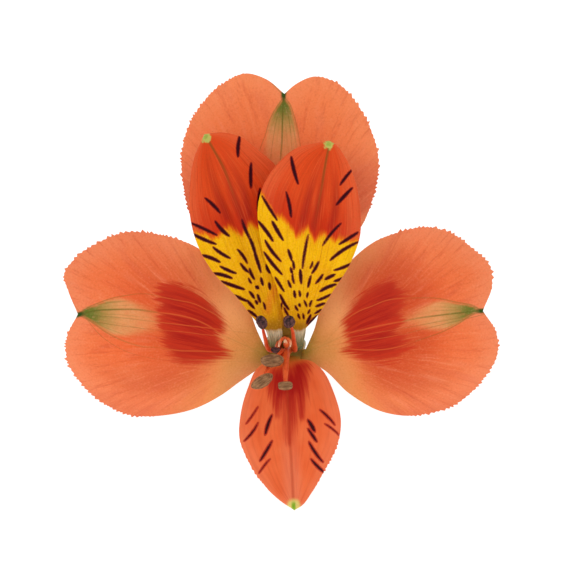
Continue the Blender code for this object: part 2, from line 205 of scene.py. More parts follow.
OUTER_RIGHT = Tepal(
    foot=(2.8, -0.8),
    foot_width=2.1,
    left=[
        (3.4, 0.5), (4.7, 3.5), (6.0, 7.9), (10.0, 14.0), (13.7, 17.3), (18.5, 19.5), (22.9, 20.3),
        (26.6, 19.4), (30.6, 16.6), (33.2, 13.9), (33.5, 11.0), (31.9, 6.6),
    ],
    middle=[(3.5, -0.6), (16.9, 2.9), (31.9, 6.6)],
    right=[
        (3.7, -1.6), (6.0, -2.7), (10.5, -6.8), (15.3, -9.5), (19.4, -10.3), (23.4, -10.0),
        (28.2, -8.2), (32.3, -4.2), (34.4, -0.5), (34.2, 3.1), (31.9, 6.6),
    ],
    rise=[(0, 1.6), (3, 3.2), (7, 5.0), (12, 6.8), (18, 7.7), (24, 7.2), (30, 5.6), (35, 4.2)],
    curl=(-2.6, -9.4),
    half_width=14.5,
    ripple=(0.6, 14.0, 2.6),
    teeth=((0.42, 0.93, 0.60), (0.40, 0.97, 0.68)),
    lens=[
        (483, 311), (474, 305.6), (457, 302.4), (437, 299), (418, 298), (402, 298.4), (390, 302), (380, 322),
        (392, 346), (412, 342), (428, 337), (441, 332.4), (457, 324.6), (474, 314.5),
    ],
    lens_fade=1.9,
    halo=0.9,
    patch=[
        (345, 321), (355, 304), (365, 293), (378, 284), (391, 279), (397, 283), (400, 290), (406, 294),
        (402, 305), (401, 318), (398, 331), (403, 338), (411, 344), (404, 349), (397, 357), (381, 361),
        (365, 360), (355, 355), (344, 350.5), (351, 345), (346, 333),
    ],
    veins=[
        (1, [(481, 311), (472, 311.5), (457, 313), (437, 315.4), (418, 318), (402, 321.3), (385, 324.6),
          (365.4, 329), (350, 333), (332, 341)]),
        (1.2, [(481, 310.5), (474, 306), (457, 302.4), (437, 298.4), (417.7, 298), (402, 298.4), (385, 301),
          (372, 306.3), (359, 311.5), (347, 319.4), (336, 331)]),
        (1.3, [(481, 311.5), (474, 314), (457, 324.6), (441, 332.4), (428, 337), (412.4, 342.2),
          (398, 346.8), (383.7, 349.4), (368, 350), (347, 349), (330, 349)]),
        (2.0, [(420, 330), (399, 335), (381, 338.3), (365.4, 340.3), (350, 341.6), (332, 345)]),
        (2.4, [(478, 312), (460, 317.5), (440, 321.5), (420, 325)]),
    ],
)
# What the two striped tepals share
STRIPED_SHAPE = {
    "foot_width": 0.95,
    "half_width": 8.0,
    "twist": 0.10,
    "crease": 0.55,
    "teeth": ((0.5, 0.95, 0.05), (0.5, 0.95, 0.05)),
}
INNER_LEFT = Tepal(
    **STRIPED_SHAPE,
    foot=(-1.85, 1.0),
    left=[
        (-3.1, 3.5), (-4.5, 4.8), (-7.9, 9.0), (-11.6, 12.9), (-14.2, 17.6), (-15.3, 22.1),
        (-15.3, 26.9), (-14.7, 31.0), (-12.9, 35.0),
    ],
    middle=[(-1.8, 3.5), (-4.4, 11.6), (-7.9, 21.0), (-11.0, 28.5), (-12.9, 35.0)],
    right=[
        (-0.5, 3.5), (0.0, 10.0), (0.2, 16.5), (0.0, 23.7), (-1.3, 29.7), (-4.4, 32.6),
        (-7.3, 34.7), (-10.2, 35.3), (-12.9, 35.0),
    ],
    rise=[(0, 3.6), (3, 5.9), (8, 8.8), (14, 11.9), (20, 14.6), (27, 17.2), (34, 19.4)],
    curl=(0.5, 0.2),
    veins=[
        (1, [(205, 135), (214, 150), (224, 168), (232, 190), (240, 212), (245, 225)]),
        (1, [(206, 140), (210, 165), (216, 190), (226, 215)]),
        (1, [(214, 138), (230, 160), (243, 190), (250, 215)]),
    ],
    border=[(180, 226), (193, 233), (204, 233), (213, 240), (220, 234), (228, 228), (236, 233), (241, 237),
           (246, 229), (251, 225), (256, 228), (262, 226), (275, 226), (290, 226)],
    blush=[(274, 288), (271, 298), (267, 310)],
)
INNER_RIGHT = Tepal(
    **STRIPED_SHAPE,
    foot=(2.35, 0.45),
    left=[
        (1.5, 3.5), (0.2, 4.8), (-0.6, 7.1), (-1.2, 10.0), (-2.2, 12.8), (-3.2, 14.9), (-3.8, 17.5),
        (-4.3, 20.5), (-4.4, 22.9), (-3.7, 26.2), (-1.6, 29.8), (1.9, 32.8), (4.8, 33.6), (7.1, 33.9),
    ],
    middle=[(2.4, 3.5), (2.9, 10.0), (3.7, 18.1), (5.0, 26.1), (7.1, 33.9)],
    right=[
        (3.4, 3.9), (5.0, 5.6), (7.7, 9.8), (10.6, 14.5), (12.1, 18.9), (12.1, 23.2),
        (11.1, 28.1), (9.6, 31.5), (8.2, 33.3), (7.1, 33.9),
    ],
    rise=[(0, 4.1), (3, 7.6), (8, 11.0), (14, 14.3), (20, 17.0), (26, 19.3), (32, 21.2)],
    curl=(0.6, 0.4),
    veins=[
        (1, [(329, 145), (325, 165), (321, 190), (316, 215), (312, 232)]),
        (1, [(327, 150), (315, 175), (306, 205), (301, 230)]),
        (1, [(331, 150), (335, 180), (334, 215), (328, 236)]),
    ],
    border=[(250, 192), (262, 194), (270, 206), (276, 218), (284, 218), (290, 227), (297, 238), (303, 232),
           (308, 229), (314, 241), (321, 236), (327, 235), (335, 241), (345, 240), (356, 242), (370, 243)],
)
INNER_LOWER = Tepal(
    foot=(0.3, -2.2),
    foot_width=1.9,
    left=[
        (2.4, -1.1), (4.4, -1.6), (5.8, -2.7), (7.9, -6.6), (9.0, -11.3), (8.5, -14.8),
        (6.6, -18.7), (4.4, -22.4), (2.6, -24.7), (1.5, -25.3),
    ],
    middle=[(0.5, -1.1), (0.6, -9.4), (1.0, -17.4), (1.5, -25.3)],
    right=[
        (-1.5, -1.1), (-3.2, -1.7), (-4.5, -2.7), (-6.0, -5.8), (-7.1, -9.7), (-7.3, -13.9),
        (-5.6, -18.2), (-2.9, -21.9), (-0.3, -24.2), (1.5, -25.3),
    ],
    rise=[(0, 3.6), (2, 5.2), (5, 7.2), (10, 10.0), (16, 13.0), (21, 15.4), (25, 17.6)],
    curl=(1.2, 1.2),
    half_width=8.0,
    ripple=(0.3, 9.0, 0.4),
    teeth=((0.50, 0.84, 0.30), (0.50, 0.84, 0.26)),
    veins=[
        (1, [(287, 380), (288.5, 420), (290, 445), (292, 475), (293.5, 505)]),
    ],
    patch=[
        (270, 376), (273, 371), (279, 370), (284, 374), (290, 373), (293, 365), (297, 361), (303, 361),
        (307, 367), (307, 381), (305, 396), (302, 416), (298, 401), (296, 397), (294, 421), (290, 443),
        (287, 420), (284, 398), (281, 401), (277, 416), (273, 401), (270, 387),
    ],
)

# Maroon dashes, each by the photograph's pixels at its two ends, with its share of the usual width if not 1
DASHES_LEFT = [
    (240, 136, 238, 157), (251, 163, 251, 188), (260, 188, 258, 212), (205, 198, 220, 213),
    (191, 223, 217, 235), (215, 221, 229, 236), (193, 234, 216, 244), (213, 247, 230, 258),
    (202, 255, 220, 262), (242, 219, 251, 240, 0.9), (249, 236, 256, 256, 0.9), (254, 250, 261, 272, 0.9),
    (237, 249, 247, 263),
    (220, 266, 236, 273), (213, 273, 232, 278), (240, 263, 248, 272), (221, 281, 244, 289),
    (249, 268, 254, 279), (248, 278, 251, 283), (261, 277, 263, 285), (266, 264, 270, 273),
    (269, 282, 270, 289), (255, 286, 258.5, 288, 1.6), (249, 291, 254, 298), (257, 294, 260, 302),
    (235, 295, 248, 301), (247, 300, 254, 308), (255, 300, 257, 304), (263, 302, 265, 309),
    (248, 310, 257, 317),
]
DASHES_RIGHT = [
    (291, 157, 298, 184), (352, 170, 340, 185), (352, 188, 336, 205), (286, 192, 291, 217),
    (262, 196, 277, 220), (272, 221, 283, 240), (258, 221, 273, 241), (265, 240, 281, 261),
    (341, 223, 323, 245), (308, 234, 302, 268, 0.9), (358, 232, 339, 244), (358, 242, 330, 260),
    (264, 252, 282, 274), (288, 249, 291.5, 260, 1.2), (292.5, 260, 293.8, 269, 0.8),
    (290.5, 267, 292.3, 273), (292.3, 273, 294, 283, 0.9), (352, 263, 334, 270),
    (313, 261, 310, 268), (319, 261, 312, 273), (300, 269, 301, 283), (311, 275, 308, 287),
    (323, 274, 316, 283), (335, 274, 325, 279), (344, 277, 334, 281), (275, 277, 284, 291),
    (288, 280, 291, 287), (336, 284, 320, 291), (294, 290, 295, 297), (299, 290, 300, 296),
    (308, 292, 307, 297), (331, 294, 317, 300), (304, 300, 307, 306), (312, 300, 310, 306),
    (299, 303, 300, 306), (280, 294, 289, 309), (325, 303, 316, 306), (295, 305, 298, 310),
    (310, 309, 308, 313), (321, 309, 315, 313), (282.2, 302, 281, 310, 0.8), (298, 313, 300, 318),
    (303, 313, 304, 318), (311, 314, 307, 323), (318, 315, 308, 324), (284, 307, 289, 316),
]
DASHES_LOWER = [
    (258, 407, 246, 424, 0.6), (258, 423, 244, 441, 0.75), (272, 415, 265, 435), (272, 441, 260, 461),
    (270, 459, 259, 473, 0.6), (320, 410, 335, 425, 0.85), (325, 424, 339, 435, 0.7),
    (308, 420, 315, 432, 1.2), (308, 429, 317, 442, 1.2), (309, 442, 323, 462), (311, 459, 324, 472),
]


def smooth(knots, values, at):
    """A smooth curve through the values at the knots, read at the places in at."""
    knots, values, at = (np.asarray(x, float) for x in (knots, values, at))
    values = values.reshape(len(knots), -1)
    gap = np.diff(knots)[:, None]
    slope = np.diff(values, axis=0) / gap
    bend = (slope[:-1] * gap[1:] + slope[1:] * gap[:-1]) / (gap[:-1] + gap[1:])
    tangent = np.vstack([slope[:1], bend, slope[-1:]])
    span = np.clip(np.searchsorted(knots, at, side="right") - 1, 0, len(gap) - 1)
    h = gap[span]
    x = (at.reshape(-1, 1) - knots[span].reshape(-1, 1)) / h
    start, end = values[span], values[span + 1]
    return (
        start * (1 + 2 * x) * (1 - x) ** 2
        + end * x**2 * (3 - 2 * x)
        + h * tangent[span] * x * (1 - x) ** 2
        - h * tangent[span + 1] * x**2 * (1 - x)
    )


def unit(vectors):
    """The vectors brought to length 1."""
    return vectors / (np.linalg.norm(vectors, axis=-1, keepdims=True) + 1e-12)


def length_along(points):
    """How far along a line of points each of them lies."""
    return np.concatenate([[0], np.cumsum(np.linalg.norm(np.diff(points, axis=0), axis=1))])


def evenly(points, share):
    """Points along a smooth curve through the given ones, at the given shares of its length."""
    points = np.asarray(points, float)
    knots = length_along(points)
    fine = np.linspace(0, knots[-1], 400)
    length = length_along(smooth(knots, points, fine))
    return smooth(knots, points, np.interp(np.asarray(share) * length[-1], length, fine))


def soft_step(value, low, high):
    """A soft step from 0 to 1 as value goes from low to high."""
    t = np.clip((np.asarray(value) - low) / (high - low), 0, 1)
    return t * t * (3 - 2 * t)


def on_axis(tepal, place):
    """How far along a blade's straight axis each (u, v) place lies, and how far beside it."""
    start = np.array(tepal.middle[0])
    axis = unit(tepal.middle[-1] - start)
    return (place - start) @ axis, (place - start) @ np.array([-axis[1], axis[0]])


def height(tepal, place):
    """How far forward a blade lies at each (u, v) place."""
    along, across = on_axis(tepal, place)
    distance, rise = zip(*tepal.rise)
    forward = smooth(distance, rise, np.clip(along, distance[0], distance[-1]))[:, 0]
    spread = across / tepal.half_width
    curl = np.where(across > 0, *tepal.curl) * spread**2
    forward += (curl + tepal.twist * across) * np.clip(along / 8, 0, 1)
    size, wavelength, phase = tepal.ripple
    forward += size * np.abs(spread) ** 3 * np.sin(2 * math.pi * along / wavelength + phase + np.sign(across))
    return forward - tepal.crease * np.exp(-((across / CREASE_WIDTH) ** 2)) * np.clip(along / 6, 0, 1)


def blade(tepal, share, side):
    """Points on a blade: share runs from claw to tip, side from 1 at the left margin to -1 at the right."""
    middle = evenly(tepal.middle, share)
    margin = np.where(side[:, None] > 0, evenly(tepal.left, share), evenly(tepal.right, share))
    place = middle + (margin - middle) * np.abs(side)[:, None]
    return np.column_stack([place, height(tepal, place)])


def claw(tepal, share, side):
    """Points on the claw, which rises from the foot and runs smoothly into the blade's first row."""
    none = np.zeros_like(share)
    top = blade(tepal, none, side)
    ahead = unit(blade(tepal, none + 0.03, none) - blade(tepal, none, none))
    edge = unit(np.subtract(tepal.left[0], tepal.right[0]))
    outward = unit(np.array(tepal.foot))
    tangent = np.array([-outward[1], outward[0]])
    tangent = unit(0.25 * math.copysign(1, tangent @ edge) * tangent + 0.75 * edge)
    foot = np.array(tepal.foot) + side[:, None] * tangent * tepal.foot_width / 2
    foot = np.column_stack([foot, np.full(len(foot), SEAT_GAP)])
    reach = np.linalg.norm(top - foot, axis=1)[:, None] * 0.42
    first = foot + reach * np.array([0, 0, 1])
    second = top - reach * ahead
    w = share[:, None]
    return foot * (1 - w) ** 3 + 3 * first * w * (1 - w) ** 2 + 3 * second * w**2 * (1 - w) + top * w**3


def beside_line(places, points):
    """Distance in mm from each place to a line through the points, negative on one side of it."""
    nearest = np.full(len(places), np.inf)
    for start, end in zip(points, points[1:]):
        run, away = end - start, places - start
        t = np.clip(away @ run / (run @ run), 0, 1)
        distance = np.linalg.norm(away - t[:, None] * run, axis=1)
        side = np.where(run[0] * away[:, 1] < run[1] * away[:, 0], -1, 1)
        nearest = np.where(distance < np.abs(nearest), distance * side, nearest)
    return nearest


def run_on(points):
    """A line with a long straight piece added at each end."""
    first, last = unit(points[0] - points[1]), unit(points[-1] - points[-2])
    return np.vstack([points[0] + 40 * first, points, points[-1] + 40 * last])


def depth_in_outline(places, points):
    """Distance in mm inside a closed outline, negative outside it."""
    closed = np.vstack([points, points[:1]])
    inside = np.zeros(len(places), bool)
    for (ax, ay), (bx, by) in zip(closed, closed[1:]):
        if ay != by:
            crosses = (places[:, 1] > ay) != (places[:, 1] > by)
            inside ^= crosses & (places[:, 0] < (bx - ax) * (places[:, 1] - ay) / (by - ay) + ax)
    return np.where(inside, 1, -1) * np.abs(beside_line(places, closed))


def rounded(points, closed=False):
    """A smooth line or outline through photograph pixels, in mm."""
    if closed:
        return evenly(from_photo([*points, points[0]]), np.linspace(0, 1, 160, endpoint=False))
    return evenly(from_photo(points), np.linspace(0, 1, 80))


def dash_field(places, dashes, seed):
    """Distance in mm outside the nearest dash, negative inside. Each is a spindle, slightly bowed."""
    rng = np.random.default_rng(seed)
    nearest = np.full(len(places), 4.0)
    for x0, y0, x1, y1, *width in dashes:
        start, end = from_photo([(x0, y0), (x1, y1)])
        run = end - start
        length = np.linalg.norm(run)
        fullness = min(0.25, 0.16 + 0.035 * length) * rng.uniform(0.85, 1.15) * (width[0] if width else 1)
        fullest = rng.uniform(0.4, 0.6)
        bow = rng.uniform(-0.05, 0.05) * length
        side_on = np.array([-run[1], run[0]]) / length
        near = np.clip((places - start) @ run / length**2, 0, 1)
        on = start + near[:, None] * run + (bow * 4 * near * (1 - near))[:, None] * side_on
        skewed = np.where(near < fullest, near / fullest, (1 - near) / (1 - fullest))
        radius = fullness * (0.3 + 0.7 * np.sin(skewed * math.pi / 2) ** 0.5)
        nearest = np.minimum(nearest, np.linalg.norm(places - on, axis=1) - radius)
    return nearest


def tooth_line(length, seed):
    """Uneven teeth along a margin: how far each place stands out, from 0 to 1, leaning towards the tip."""
    rng = np.random.default_rng(seed)
    starts = [0.0]
    while starts[-1] < length.max():
        starts.append(starts[-1] + rng.uniform(*TOOTH_SPACING))
    starts = np.array(starts)
    sizes = rng.uniform(*TOOTH_SIZES, len(starts))
    which = np.clip(np.searchsorted(starts, length, side="right") - 1, 0, len(starts) - 2)
    phase = (length - starts[which]) / (starts[which + 1] - starts[which])
    return sizes[which] * np.where(phase < TOOTH_PEAK, phase / TOOTH_PEAK, (1 - phase) / (1 - TOOTH_PEAK))


def tepal_grid(tepal, seed):
    """The fine middle surface of a tepal as a grid of points, with its normals and each point's side."""
    columns = np.linspace(-1, 1, 2 * HALF_COLUMNS + 1)
    columns = np.sign(columns) * (1 - (1 - np.abs(columns)) ** CROWDING)
    claw_share = np.linspace(0, 1, CLAW_ROWS, endpoint=False)
    blade_share = np.linspace(0, 1, BLADE_ROWS + 1)
    grids = []
    for shape, shares in ((claw, claw_share), (blade, blade_share)):
        share, side = (x.ravel() for x in np.meshgrid(shares, columns, indexing="ij"))
        grids.append(shape(tepal, share, side).reshape(len(shares), len(columns), 3))
    points = np.vstack(grids)
    normals = np.cross(np.gradient(points, axis=1), np.gradient(points, axis=0))
    normals[-1] = normals[-4]
    normals = unit(normals)
    normals *= np.sign(normals[len(normals) // 2, HALF_COLUMNS, 2])
    share = np.concatenate([np.zeros(CLAW_ROWS), blade_share])
    for number, (column, inward, (start, end, size)) in enumerate(zip((-1, 0), (-1, 1), tepal.teeth)):
        margin = points[:, column]
        ahead = unit(np.gradient(margin, axis=0))
        out = margin - points[:, column + inward]
        out = unit(out - (out * ahead).sum(1)[:, None] * ahead)
        reach = tooth_line(length_along(margin), seed + number) - TOOTH_MIDDLE
        fade = np.clip((share - start) / 0.08, 0, 1) * np.clip((end - share) / 0.05, 0, 1)
        for step, part in enumerate(TOOTH_COLUMNS):
            points[:, column + step * inward] += out * (reach * fade * size * part)[:, None]
    return points, normals, np.tile(columns, (len(points), 1))


def add_values(mesh, key, values):
    """A named value or vector at each corner of a mesh."""
    kind, field_name = ("FLOAT_VECTOR", "vector") if values.shape[1:] == (3,) else ("FLOAT", "value")
    attribute = mesh.attributes.new(key, kind, "POINT")
    attribute.data.foreach_set(field_name, values.astype(np.float32).ravel())


def shell_mesh(name, points, normals, thickness, fields):
    """A closed thin shell round a grid whose last row is one point, with named values at its corners."""
    rows, columns = points.shape[:2]
    flat = (rows - 1) * columns
    size = flat + 1

    def corners(grid):
        return np.vstack([grid[:-1].reshape(flat, -1), grid[-1, columns // 2]])

    half = normals * thickness[..., None] / 2
    vertices = np.vstack([corners(points + half), corners(points - half)])
    numbers = np.arange(flat).reshape(rows - 1, columns)
    a = numbers[:-1, :-1].ravel()
    front = np.column_stack([a, a + 1, a + columns + 1, a + columns])
    last = numbers[-1, :-1]
    tip = np.column_stack([last, last + 1, np.full(columns - 1, flat)])
    quads, triangles = [front, front[:, ::-1] + size], [tip, tip[:, ::-1] + size]
    foot = numbers[0, :-1]
    quads.append(np.column_stack([foot + 1, foot, foot + size, foot + 1 + size]))
    for column, turned in ((0, False), (columns - 1, True)):
        edge = np.append(numbers[:, column], flat)
        rim = np.column_stack([edge[:-1], edge[1:], edge[1:] + size, edge[:-1] + size])
        quads.append(rim[:, ::-1] if turned else rim)
    faces = [face.tolist() for group in quads + triangles for face in group]
    mesh = bpy.data.meshes.new(name)
    mesh.from_pydata(in_world(vertices).tolist(), [], faces)
    for key, grid in fields.items():
        add_values(mesh, key, np.vstack([corners(grid), corners(grid)]))
    add_values(mesh, "front", np.repeat([1.0, 0.0], size))
    mesh.update()
    return mesh


def add_piece(name, mesh, node, slot, *materials):
    """A piece of the bloom that stands for one node of the frame."""
    made = bpy.data.objects.new(name, mesh)
    bpy.context.scene.collection.objects.link(made)
    for material in materials:
        mesh.materials.append(material)
    mesh.shade_smooth()
    mesh.set_sharp_from_angle(angle=math.radians(60))
    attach(made, "root")
    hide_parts(node)


def fan(tepal, place, side):
    """Which fine vein a place lies on, as they bend out from the foot to the margins; side; distance."""
    along, across = on_axis(tepal, place)
    along = np.maximum(along + 2.0, 0.5)
    vein = np.arctan2(across, 0.03 * along**tepal.bend * 20 ** (2 - tepal.bend))
    return np.column_stack([vein, side.ravel(), along * 0.1])


def add_tepal(name, tepal, node, slot, material, seed, dashes=()):
    """A tepal with toothed margins, and the values that its material turns into markings."""
    points, normals, side = tepal_grid(tepal, seed)
    place = points[..., :2].reshape(-1, 2)
    length = length_along(points[:, HALF_COLUMNS])[:, None] + 0 * side
    root = length - length[CLAW_ROWS, 0]
    lanes = [beside_line(place, run_on(rounded(line))) * fineness for fineness, line in tepal.veins]
    lanes += [lanes[-1]] * (6 - len(lanes))
    from_tip = np.linalg.norm(place - np.array(tepal.middle[-1]), axis=1)
    margins = [evenly(line, np.linspace(0, 1, 60)) for line in (tepal.left, tepal.right)]
    knob_away = np.abs(place - evenly(tepal.middle, [1 - KNOB_DEPTH / root[-1, 0]]))
    values = {
        "root": root,
        "rim": 1 - np.abs(side),
        "edge": np.min([np.abs(beside_line(place, margin)) for margin in margins], axis=0),
        "tip": from_tip,
        "knob": (knob_away**2.6).sum(1) ** (1 / 2.6),
        "veins_a": np.column_stack(lanes[:3]),
        "veins_b": np.column_stack(lanes[3:]),
        "flow": fan(tepal, place, side),
        "place": points * 0.1,
        "patch": np.full(len(place), -20.0),
        "halo": np.zeros(len(place)),
        "blush": np.full(len(place), 20.0),
    }
    if tepal.lens:
        lens = depth_in_outline(place, rounded(tepal.lens, closed=True))
        values["lens"] = lens - tepal.lens_fade * soft_step(from_tip, 6, 14)
    if tepal.patch:
        values["patch"] = depth_in_outline(place, from_photo(tepal.patch))
        beyond_base = soft_step(root.ravel(), 6, 12)
        values["halo"] = tepal.halo * soft_step(values["patch"], -8, -0.5) * beyond_base
    if tepal.border:
        u, v = from_photo(tepal.border).T
        values["patch"] = place[:, 1] - np.interp(place[:, 0], u, v)
    if tepal.blush:
        values["blush"] = np.abs(beside_line(place, from_photo(tepal.blush)))
    if dashes:
        values["dash"] = dash_field(place, dashes, seed)
    values = {key: np.asarray(grid).reshape(*side.shape, -1) for key, grid in values.items()}
    vein = np.min(np.abs(lanes), axis=0).reshape(side.shape)
    middle, margin = THICKNESS
    thickness = margin + (middle - margin) * (1 - np.abs(side) ** 3)
    thickness += VEIN_HEIGHT * np.exp(-((vein / VEIN_WIDTH) ** 2)) * np.clip(length / 6, 0, 1)
    thickness += TIP_HEIGHT * np.exp(-((from_tip.reshape(side.shape) / TIP_WIDTH) ** 2))
    add_piece(name, shell_mesh(name, points, normals, thickness, values), node, slot, material)


class Paint:
    """A Principled material whose nodes are added by short calls. Each call gives back an output socket.

    A colour is such a socket, or its red, green and blue on the 0 to 255 scale.
    """

    def __init__(self, name, **constants):
        self.material = bpy.data.materials.new(name)
        self.material.use_nodes = True
        self.tree = self.material.node_tree
        self.shader = self.tree.nodes["Principled BSDF"]
        for key, value in constants.items():
            self.put(self.shader.inputs[key.replace("_", " ")], value)

    def put(self, socket, value):
        """Fills an input with a value, or links an output to it."""
        if isinstance(value, bpy.types.NodeSocket):
            self.tree.links.new(value, socket)
        else:
            socket.default_value = value

    def node(self, kind, inputs=(), **settings):
        """A new node with its settings, and with some of its inputs filled, by name or number."""
        made = self.tree.nodes.new("ShaderNode" + kind)
        for key, value in settings.items():
            setattr(made, key, value)
        for key, value in dict(inputs).items():
            self.put(made.inputs[key], value)
        return made

    def value(self, name):
        return self.node("Attribute", attribute_name=name).outputs["Fac"]

    def vector(self, name):
        return self.node("Attribute", attribute_name=name).outputs["Vector"]

    def parts(self, name):
        """The three parts of a named vector."""
        return list(self.node("SeparateXYZ", {0: self.vector(name)}).outputs)

    def nearest_vein(self):
        """Distance in mm to the midrib, and to the nearest of all veins."""
        distances = [self.math("ABSOLUTE", part) for part in self.parts("veins_a") + self.parts("veins_b")]
        nearest = distances[0]
        for distance in distances[1:]:
            nearest = self.math("MINIMUM", nearest, distance)
        return distances[0], nearest

    def noise(self, name, stretch, scale=1.0, detail=2.0, roughness=0.5):
        """Noise over a stretched vector, centred on zero, from about -0.5 to 0.5."""
        stretched = self.node("VectorMath", {0: self.vector(name), 1: stretch}, operation="MULTIPLY")
        inputs = {"Vector": stretched.outputs["Vector"], "Scale": scale}
        made = self.node("TexNoise", {**inputs, "Detail": detail, "Roughness": roughness})
        return self.math("SUBTRACT", made.outputs["Fac"], 0.5)

    def math(self, operation, *values):
        return self.node("Math", enumerate(values), operation=operation).outputs["Value"]

    def add(self, first, second, times=1.0):
        return self.math("ADD", first, self.math("MULTIPLY", second, times))

    def times(self, *values):
        product = values[0]
        for value in values[1:]:
            product = self.math("MULTIPLY", product, value)
        return product

    def between(self, value, low, high, to_low=0.0, to_high=1.0):
        """A soft step from to_low to to_high as value goes from low to high."""
        inputs = enumerate((value, low, high, to_low, to_high))
        return self.node("MapRange", inputs, interpolation_type="SMOOTHSTEP").outputs["Result"]

    def mix(self, share, under, over):
        """A colour over another, by the share."""
        under, over = (x if isinstance(x, bpy.types.NodeSocket) else colour(*x) for x in (under, over))
        return self.node("Mix", {0: share, 6: under, 7: over}, data_type="RGBA").outputs[2]

    def lay(self, under, *layers):
        """A colour with layers over it. Each is a colour, a value, its start and its full, a share and masks.

        A layer covers nothing where its value is at the start, and its share of the colour where it is full.
        """
        for over, value, start, full, share, *masks in layers:
            covered = self.times(self.between(value, start, full, 0.0, share), *masks)
            under = self.mix(covered, under, over)
        return under

    def ramp(self, value, *stops):
        """A run of colours, each with the value where it stands."""
        made = self.node("ValToRGB", {"Fac": value})
        elements = made.color_ramp.elements
        while len(elements) < len(stops):
            elements.new(1.0)
        for element, (place, shade) in zip(elements, stops):
            element.position = place
            element.color = colour(*shade)
        return made.outputs["Color"]

    def finish(self, base, bump=None, strength=0.0, depth=0.0):
        """The material with its colour, and its relief with a depth in mm."""
        self.put(self.shader.inputs["Base Color"], base)
        if bump is not None:
            made = self.node("Bump", {"Strength": strength, "Distance": depth * MM, "Height": bump})
            self.put(self.shader.inputs["Normal"], made.outputs["Normal"])
        return self.material


PETAL = {
    "Roughness": 0.55,
    "Specular_IOR_Level": 0.12,
    "Subsurface_Weight": 0.1,
    "Subsurface_Scale": 0.001,
}
FLAT, SOLID = (1, 1, 0), (1, 1, 1)  # noise that is the same at any depth, and noise that isn't


